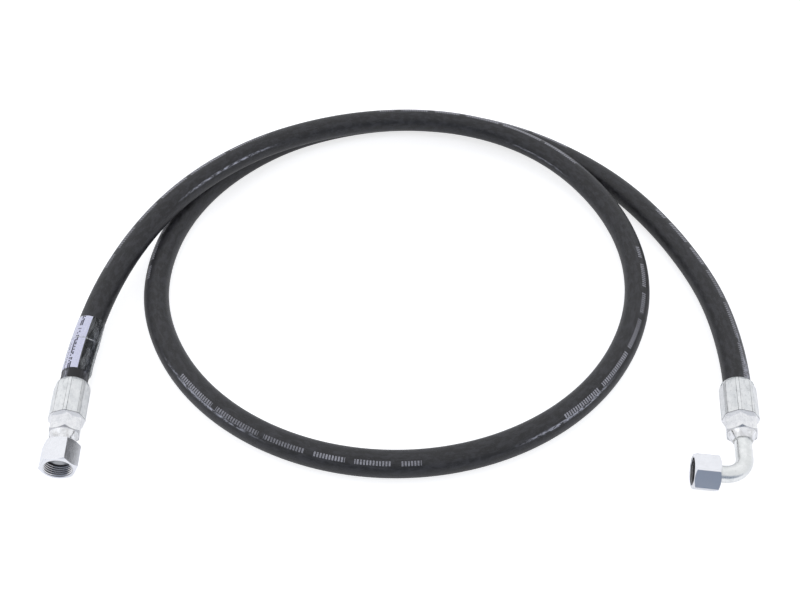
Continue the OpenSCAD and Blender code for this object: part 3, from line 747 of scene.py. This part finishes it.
def recess_painted_light_and_shade(f, radius, z, inside, colour):
    """Another colour within a radius and between two heights: painted shade where it is darker than
    the plating, painted light where it is lighter. The thread roots get painted shade.
    """
    reach, low, high, dull = inside
    within = f.product(f.calc("LESS_THAN", radius, reach), f.level(z, high - 0.0003, high, 1, 0),
                       f.calc("GREATER_THAN", z, low))
    # painted shade where the given colour is darker, painted light where it is lighter
    colour = f.blend(within, colour, dull)
    # painted shade: the thread roots are painted darker
    roots = f.level(radius, THREAD_MINOR_R + 0.0001, THREAD_MAJOR_R, 0, 0.6)
    return f.blend(f.product(within, roots), colour, tone(84, 86, 90))


def make_zinc(name, light, dark, low_rough, high_rough, lines, worn=1.0, inside=None):
    """Bright zinc plating. lines is "turned", "drawn" or "pressed", for the marks under it. worn is
    the strength of its spots. inside, a radius, two heights on the piece's axis and a colour, is a
    recess painted in that colour: painted shade where it is darker, painted light where it is
    lighter."""
    f = Finish(name, Metallic=1.0)
    where = f.place()
    x, y, z = f.parts(where)
    radius = f.length(f.joined(x, y))
    cloud = f.noise(where, 0.006, 3, 0.6)
    grain = f.noise(where, 0.0007, 4, 0.7)
    spots = f.noise(f.stretched(where, 1, 1, 0.4), 0.0016, 4, 0.7)
    scratch = f.noise(f.stretched(where, 0.4, 1, 0.15), 0.0006, 2, 0.5, 1.5)
    colour = f.blend(f.level(cloud, 0.3, 0.7), light, dark)
    colour = f.blend(f.level(grain, 0.4, 0.75, 0, 0.25 * worn), colour, tone(150, 152, 158))
    colour = f.blend(f.level(spots, 0.52, 0.7, 0, 0.5 * worn), colour, tone(160, 161, 162))
    colour = f.blend(f.level(scratch, 0.62, 0.7, 0, 0.3), colour, tone(235, 236, 240))
    if lines == "pressed":
        colour = crimp_painted_light_and_shade(f, where, x, y, z, colour)
    if lines == "turned":
        colour = collar_blotches_and_painted_shade(f, where, radius, z, colour)
    if inside:
        colour = recess_painted_light_and_shade(f, radius, z, inside, colour)
    rough = f.calc("ADD", f.level(cloud, 0.3, 0.7, low_rough, high_rough),
                   f.level(grain, 0.3, 0.7, -0.04, 0.06))
    marks = f.bump(zinc_marks(f, where, radius, z, lines), 0.00002, 0.5)
    return f.done(colour, rough, f.bump(grain, 0.00002, 0.6, marks))


def make_braze():
    f = Finish("braze", Metallic=1.0)
    cloud = f.noise(f.place(), 0.0012, 4, 0.6)
    colour = f.blend(f.level(cloud, 0.3, 0.7), tone(240, 240, 240), tone(212, 211, 208))
    return f.done(colour, f.level(cloud, 0.3, 0.7, 0.35, 0.6), f.bump(cloud, 0.00015))


def make_spring_wire():
    f = Finish("spring_wire", Metallic=1.0)
    grain = f.noise(f.place(), 0.0008, 3)
    colour = f.blend(f.level(grain, 0.3, 0.7), tone(150, 152, 156), tone(108, 110, 116))
    return f.done(colour, f.level(grain, 0.3, 0.7, 0.25, 0.4), f.bump(grain, 0.00002))


RUBBER = make_hose_rubber()
BRAID = make_braid_wire()
TUBE_RUBBER = make_tube_rubber()
LABEL = make_label_paper()
CLEAR = make_label_clear()
ZINC_FERRULE = make_zinc("zinc_ferrule", tone(245, 246, 246), tone(232, 234, 235), 0.4, 0.5,
                         "pressed", 0.75)
# painted shade: the stem beyond its neck, inside the nut, is painted darker
ZINC_STEM = make_zinc("zinc_stem", tone(254, 254, 255), tone(236, 237, 240), 0.13, 0.18, "turned",
                      0.3, (1, NECK_END + 0.006, 1, tone(170, 172, 176)))
ZINC_TUBE = make_zinc("zinc_tube", tone(248, 249, 248), tone(233, 235, 234), 0.24, 0.32,
                      "drawn", 0.3)
# painted light: the nut's bore is painted a plain lighter tone than its outside
ZINC_NUT = make_zinc("zinc_nut", tone(243, 244, 248), tone(239, 240, 244), 0.18, 0.22, "drawn",
                     0.12, (RELIEF_R + LAYER_GAP, -1, -MOUTH_CHAMFER, tone(246, 245, 246)))
# painted shade: the elbow's nose, inside the right nut, is painted much darker than the other zinc
SHADED_ZINC_NOSE = make_zinc("zinc_nose_painted_shade", tone(150, 152, 158), tone(120, 122, 128), 0.24, 0.36, "turned")
WIRE = make_spring_wire()
BRAZE = make_braze()


# ---- Hose ----

def make_hose():
    places = np.array(PRINT_PLACES)
    print_angle = np.interp(TRAVEL, places[:, 0], places[:, 1])
    cover = tube_layer("hose_cover_skin", LINE, TRAVEL, HOSE_R, OUTER_BRAID_R + LAYER_GAP, 48,
                       print_angle)
    dress(cover, RUBBER, "hose_assembly", "hose_cover")
    layers = [
        ("braid_outer", OUTER_BRAID_R, FRICTION_R + LAYER_GAP, BRAID, "outer_wire_braid",
         "braid_wire"),
        ("friction_rubber", FRICTION_R, INNER_BRAID_R + LAYER_GAP, TUBE_RUBBER, "friction_layer",
         "tube_rubber"),
        ("braid_inner", INNER_BRAID_R, TUBE_R + LAYER_GAP, BRAID, "inner_wire_braid",
         "braid_wire"),
        ("inner_tube_rubber", TUBE_R, TUBE_BORE_R, TUBE_RUBBER, "inner_tube", "tube_rubber"),
    ]
    inner = []
    for name, outer_r, inner_r, material, node, slot in layers:
        layer = tube_layer(name, LINE, TRAVEL, outer_r, inner_r, 24)
        inner.append(dress(layer, material, "hose_assembly", node))
    return cover, inner


def stretch_of_line(start, end, step):
    """Part of the hose's middle line, from and to distances past the left ferrule's mouth."""
    base = FERRULE_LENGTH - HOSE_START
    travel = np.linspace(base + start, base + end, int(round((end - start) / step)) + 1)
    return np.stack([np.interp(travel, TRAVEL, LINE[:, c]) for c in range(3)], -1), travel


def make_label():
    line, travel = stretch_of_line(LABEL_START, LABEL_START + LABEL_LENGTH, 0.002)
    count = 29
    over = np.linspace(*np.radians(LABEL_ANGLES), count)
    angles = np.concatenate([over, over[::-1]])
    under_r, over_r = HOSE_R + LAYER_GAP, HOSE_R + LAYER_GAP + LABEL_THICKNESS
    radius = np.tile(np.repeat([over_r, under_r], count), (len(line), 1))
    radius[0], radius[-1] = (under_r + over_r) / 2, (under_r + over_r) / 2
    points = around(line, radius, angles)
    uv = grid_map(travel, np.append(angles, angles[0]) * over_r)
    label = grid_object("label_paper_patch", points, uv, flip=True)
    return dress(label, LABEL, "hose_assembly", "hose_label")


def film_relief(travel, angles):
    """How far the clear film stands off: a crease across it, a loose side and soft waves."""
    along = (travel - travel[0])[:, None]
    round_ = angles[None, :]
    crease = FILM_CREASE + 0.002 * np.sin(round_)
    pleat = 0.0004 * np.exp(-((along - crease) / 0.0009) ** 2) * np.clip(np.cos(round_ - 0.9), 0, 1)
    loose = 0.0013 * np.clip(np.cos(round_ - LOOSE_SIDE), 0, 1) ** 6
    loose = loose * np.clip((along[-1] - along) / 0.02, 0, 1) * np.clip(along / 0.002, 0, 1)
    waves = 0.00005 * (1 + np.sin(along * 520 + 2.1 * np.sin(2 * round_)))
    return pleat + loose + waves


def make_film():
    line, travel = stretch_of_line(LABEL_START - FILM_OVERHANG,
                                   LABEL_START + LABEL_LENGTH + FILM_OVERHANG, 0.001)
    angles = np.radians(-90) + even_angles(56)
    inner_r = HOSE_R + 2 * LAYER_GAP + LABEL_THICKNESS
    relief = film_relief(travel, angles)
    relief[0], relief[-1] = 0, 0
    both = np.concatenate([around(line, inner_r + FILM_THICKNESS + relief, angles),
                           around(line, inner_r + relief, angles)[::-1]])
    uv = grid_map(np.concatenate([travel, travel[::-1], travel[:1]]),
                  np.append(angles, angles[0] + 2 * math.pi) * HOSE_R)
    film = grid_object("label_film_wrap", both, uv, wrap_rows=True, flip=True)
    return dress(film, CLEAR, "hose_assembly", "label_film")


COVER, INNER_LAYERS = make_hose()
LABEL_PATCH, FILM = make_label(), make_film()


# ---- Fittings. Their frames: Z away from the hose, Y up, origin on the ferrule's front face ----

def fitting_frame(front, way, lean):
    return axes(front, (math.cos(lean), math.sin(lean), 0), (0, 0, 1), -way)


LEFT = fitting_frame(LEFT_FRONT, LEFT_WAY, LEFT_LEAN)
RIGHT = fitting_frame(RIGHT_FRONT, RIGHT_WAY, -RIGHT_LEAN)


def elbow_frames():
    """The elbow's own frame, with its corner at the origin, the stem along +Y and the nut's mouth
    along -X, and the right nut's frame, with Z out of its mouth and the origin on its mouth."""
    roll = math.asin((RIGHT_AXIS_Z - NUT_R) / ELBOW_REACH)
    corner = RIGHT_FRONT - (RIGHT_COLLAR_END + ELBOW_RISE) * RIGHT_WAY
    level = np.array([math.cos(RIGHT_LEAN), -math.sin(RIGHT_LEAN), 0])
    x = level * math.cos(roll) + np.array([0, 0, math.sin(roll)])
    y = RIGHT_WAY
    z = np.cross(x, y)
    return axes(corner, x, y, z), axes(corner - ELBOW_REACH * x, y, z, -x)


ELBOW, RIGHT_NUT = elbow_frames()


def ferrule_angles():
    """Angles round the ferrule, close together at the edges of its ridges. A flat is at 0."""
    one = np.array([0, 5, 10, 14, 16.6, 17.3, 17.9, 19.5, HALF_FLAT])
    one = np.concatenate([-one[:0:-1], one[:-1]])
    return np.radians(np.concatenate([2 * HALF_FLAT * k + one for k in range(CRIMP_FLATS)]))


def ferrule_radius(angles, sink, crease=0.0001):
    """Radius of the crimped outside: flats, and between creases the ridges that the dies leave."""
    half = math.radians(HALF_FLAT)
    off = np.abs((angles + half) % (2 * half) - half)
    flat = (FLAT_R - sink) / np.cos(off) - 0.00006 * np.cos(off * 10) * (off < 0.25)
    flat = flat - crease * (np.abs(off - math.radians(HALF_FLAT - CREASE_TURN)) < 0.001)
    return np.minimum(flat, RIDGE_R - sink)


def make_ferrule(name, place, turn, node):
    """A shell round the hose: curled lip, taper, crimped barrel, bevelled front face and bore."""
    angles = ferrule_angles()
    back, lip_r, lip_mouth_r, curl = -FERRULE_LENGTH, HOSE_R + 0.00025, 0.01235, 0.0005
    taper, taper_sink, slack = 0.0042, 0.0015, 0.0001
    rings = [(lip_r + 0.0002, back + 0.0002), (lip_r + 0.0007, back)]
    for t in np.radians([0, 30, 60, 90]):
        rings.append((lip_mouth_r + curl * math.sin(t), back + curl * (1 - math.cos(t))))
    for t in np.linspace(0.1, 1, 9):
        sink = taper_sink * (1 - t) ** 1.8
        rings.append((ferrule_radius(angles, sink + slack, slack * t), back + taper * t))
    for s in np.linspace(back + taper + 0.003, -0.0035, 7):
        waist = slack * ((s + FERRULE_LENGTH / 2) / 0.013) ** 2
        rings.append((ferrule_radius(angles, waist), s))
    for t in np.radians([0, 45, 90]):
        inward, down = FRONT_BEVEL * (1 - math.cos(t)), FRONT_BEVEL * (1 - math.sin(t))
        bevelled = np.minimum(ferrule_radius(angles, slack), RIDGE_R - inward) - 0.6 * inward
        rings.append((bevelled, -down))
    lock_r, bore_r = LOCK_R + LAYER_GAP, HOSE_R + LAYER_GAP
    rings += [(lock_r, 0), (lock_r, -WEB), (bore_r, -WEB), (bore_r, back + 0.003),
              (lip_r, back + 0.001)]
    place = place @ Matrix.Rotation(math.radians(turn), 4, "Z")
    dress(loft(name, rings, angles, place, 24), ZINC_FERRULE, "hose_assembly", node)


def tail_rings():
    """Tail, shoulder and locking groove of a stem, from inside the hose to the ferrule's face."""
    pitch, barb = (TAIL_END - HOSE_START) / 6, 0.0004
    rings = [(TAIL_R - 0.0006, -TAIL_END), (TAIL_R, -TAIL_END + 0.001)]
    for i in range(5, 0, -1):
        s = -(HOSE_START + (i - 0.25) * pitch)
        rings += [(TAIL_R, s - pitch / 2), (TAIL_R - barb, s), (TAIL_R, s + 0.0001)]
    shoulder = -HOSE_START + 0.0002
    return rings + [(TAIL_R, shoulder), (SHOULDER_R, shoulder), (SHOULDER_R, -WEB - LAYER_GAP),
                    (LOCK_R, -WEB - LAYER_GAP), (LOCK_R, 0)]


def make_stem(name, place, turn, collar_r, tip, beyond, node):
    """Tail, hexagon and collar of a stem, and its bore. tip is the collar's small end, as radius,
    height and rounding, and beyond has the rings between that and the bore."""
    angles, flats = hexagon(HEX_R, 0.0003, 90 - turn)
    tip_r, tip_end, rounding = tip
    collar = [(collar_r - 0.0003, HEX_LENGTH), (collar_r, HEX_LENGTH + 0.0003),
              (collar_r - 0.0002, HEX_LENGTH + 0.0006), (tip_r + rounding, tip_end - 0.0004),
              (tip_r, tip_end)]
    rings = tail_rings() + hex_rings(flats, HEX_BACK_R, collar_r + COLLAR_LIP, 0, HEX_LENGTH) \
        + collar + beyond + [(FLOW_R, -TAIL_END)]
    dress(loft(name, rings, angles, place, 32), ZINC_STEM, "hose_assembly", node)


def half_groove(radius, height, side):
    """Half of the thrust wire's groove: in the nut's bore with side 1, in the stem with side -1."""
    reach = side * WIRE_GROOVE_R
    return [(radius + reach * math.sin(t), height + reach * math.cos(t))
            for t in np.radians([0, 30, 60, 90, 120, 150, 180])]


def make_stems():
    journal, front = NECK_END + 0.0002, NECK_END + LEFT_NUT_LENGTH - NOSE_FRONT
    seat = (SEAT_R - FLOW_R) / math.tan(math.radians(SEAT_ANGLE))
    beyond = [(NECK_R, journal), (JOURNAL_R, journal),
              *half_groove(JOURNAL_R, NECK_END + WIRE_SETBACK, -1), (JOURNAL_R, front - 0.0003),
              (JOURNAL_R - 0.0003, front), (SEAT_R, front), (FLOW_R, front - seat)]
    make_stem("left_stem_turned", LEFT, LEFT_HEX_TURN, LEFT_COLLAR_R,
              (NECK_R, LEFT_COLLAR_END, 0.0003), beyond, "left_stem")
    socket_r, end, bevel = ELBOW_TUBE_R + LAYER_GAP, RIGHT_COLLAR_END, 0.0009
    beyond = [(ELBOW_TUBE_R + bevel, end), (socket_r, end - bevel), (socket_r, end - SOCKET),
              (FLOW_R, end - SOCKET)]
    make_stem("right_stem_turned", RIGHT, RIGHT_HEX_TURN, RIGHT_COLLAR_R,
              (RIGHT_COLLAR_TIP_R, end, 0.0002), beyond, "right_stem")


def thread_strip(name, place):
    """The thread inside a nut's mouth: a strip that winds with it, in steps of its crests and
    roots."""
    steps = [(0, THREAD_MINOR_R), (0.25, THREAD_MINOR_R), (0.5625, THREAD_MAJOR_R),
             (0.6875, THREAD_MAJOR_R)]      # share of a pitch and radius
    angles = np.linspace(0, 2 * math.pi, 97)
    rows = []
    for turn in range(int(THREAD_END / THREAD_PITCH) + 3):
        for phase, radius in steps:
            depth = THREAD_PITCH * (turn - 1 + phase + angles / (2 * math.pi))
            depth = np.clip(depth, 0.0002, THREAD_END + 0.0001)
            r = np.maximum(radius, THREAD_MINOR_R + MOUTH_CHAMFER - depth)
            rows.append(np.stack([r * np.cos(angles), r * np.sin(angles), -depth], -1))
    along = np.arange(len(rows)) * THREAD_PITCH / len(steps)
    return grid_object(name, np.array(rows), grid_map(along, angles * THREAD_MAJOR_R),
                       wrap_cols=False, place=place, smooth_angle=20)


def make_nut(name, length, inner, place, body, node):
    """A nut with its mouth at Z = 0. inner has the rings from the relief to the back face."""
    angles, flats = hexagon(NUT_R, 0.00035)
    face_r, root_r = NUT_R - 0.0004, THREAD_MAJOR_R + 0.00002
    rings = [(inner[-1][0], -length)] + hex_rings(flats, face_r, face_r, -length, 0) + [
        (THREAD_MINOR_R + MOUTH_CHAMFER, 0), (root_r, -0.0002), (root_r, -THREAD_END),
        (RELIEF_R, -THREAD_END), (RELIEF_R, -RELIEF_END)] + inner
    dress(loft(name, rings, angles, place, 32), ZINC_NUT, body, node)
    dress(thread_strip(name + "_thread", place), ZINC_NUT, body)


def make_nuts():
    left = LEFT @ Matrix.Translation((0, 0, NECK_END + LEFT_NUT_LENGTH))
    bore = JOURNAL_R + 0.00007
    inner = [(bore, -RELIEF_END), *half_groove(bore, WIRE_SETBACK - LEFT_NUT_LENGTH, 1),
             (bore, -LEFT_NUT_LENGTH)]
    make_nut("left_nut_hex", LEFT_NUT_LENGTH, inner, left, "left_nut", "left_swivel_nut")
    wall = NUT_BACK_WALL - RIGHT_NUT_LENGTH
    inner = [(NOSE_BORE_R, -RELIEF_END), (NOSE_BORE_R, wall), (TUBE_HOLE_R, wall),
             (TUBE_HOLE_R, -RIGHT_NUT_LENGTH)]
    make_nut("right_nut_hex", RIGHT_NUT_LENGTH, inner, RIGHT_NUT, "right_nut", "right_swivel_nut")


def elbow_line():
    """Middle line of the elbow's tube in the elbow's own frame, from the stem's socket to the nose,
    and how far each of its points is through the bend, from 0 to 1."""
    turn = np.linspace(0, math.pi / 2, 25)
    down = [(0, y, 0) for y in np.linspace(ELBOW_RISE + SOCKET - 0.0002, BEND_R, 12)[:-1]]
    bend = [(-BEND_R + BEND_R * math.cos(a), BEND_R - BEND_R * math.sin(a), 0) for a in turn]
    out = [(x, 0, 0) for x in np.linspace(-BEND_R, ELBOW_TUBE_END - ELBOW_REACH, 8)[1:]]
    bent = np.concatenate([np.zeros(len(down)), turn / turn[-1], np.ones(len(out))])
    return np.array(down + bend + out), bent


def make_elbow_tube():
    line, bent = elbow_line()
    up = np.tile([0.0, 0, 1], (len(line), 1))
    side = np.cross(units(np.gradient(line, axis=0)), up)
    oval = 0.02 * np.sin(math.pi * bent) ** 2
    angles = even_angles(56)
    sets = []
    for radius, order in ((ELBOW_TUBE_R, 1), (ELBOW_BORE_R, -1)):
        wide = radius * (1 - oval)[:, None, None] * np.cos(angles)[None, :, None] * side[:, None]
        tall = radius * (1 + oval / 2)[:, None, None] * np.sin(angles)[None, :, None] * up[:, None]
        sets.append((line[:, None] + wide + tall)[::order])
    travel = travelled(line)
    uv = grid_map(np.concatenate([travel, travel[::-1], travel[:1]]),
                  np.append(angles, 2 * math.pi) * ELBOW_TUBE_R)
    tube = grid_object("elbow_tube_bent", np.concatenate(sets), uv, wrap_rows=True, flip=True,
                       place=ELBOW)
    dress(tube, ZINC_TUBE, "hose_assembly", "elbow_tube")


def dress_cad_nodes():
    """The pieces that stay as the CAD made them get their materials."""
    for node, material in (("thrust_wire", WIRE), ("elbow_nose", SHADED_ZINC_NOSE),
                           ("stem_braze_ring", BRAZE), ("nose_braze_ring", BRAZE)):
        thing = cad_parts[node]
        if not thing.material_slots:
            thing.data.materials.append(material)
        for slot in thing.material_slots:
            slot.material = material


make_ferrule("left_ferrule_crimped", LEFT, LEFT_CRIMP_TURN, "left_ferrule")
make_ferrule("right_ferrule_crimped", RIGHT, RIGHT_CRIMP_TURN, "right_ferrule")
make_stems()
make_nuts()
make_elbow_tube()
dress_cad_nodes()

bpy.context.scene.view_settings.view_transform = "Standard"
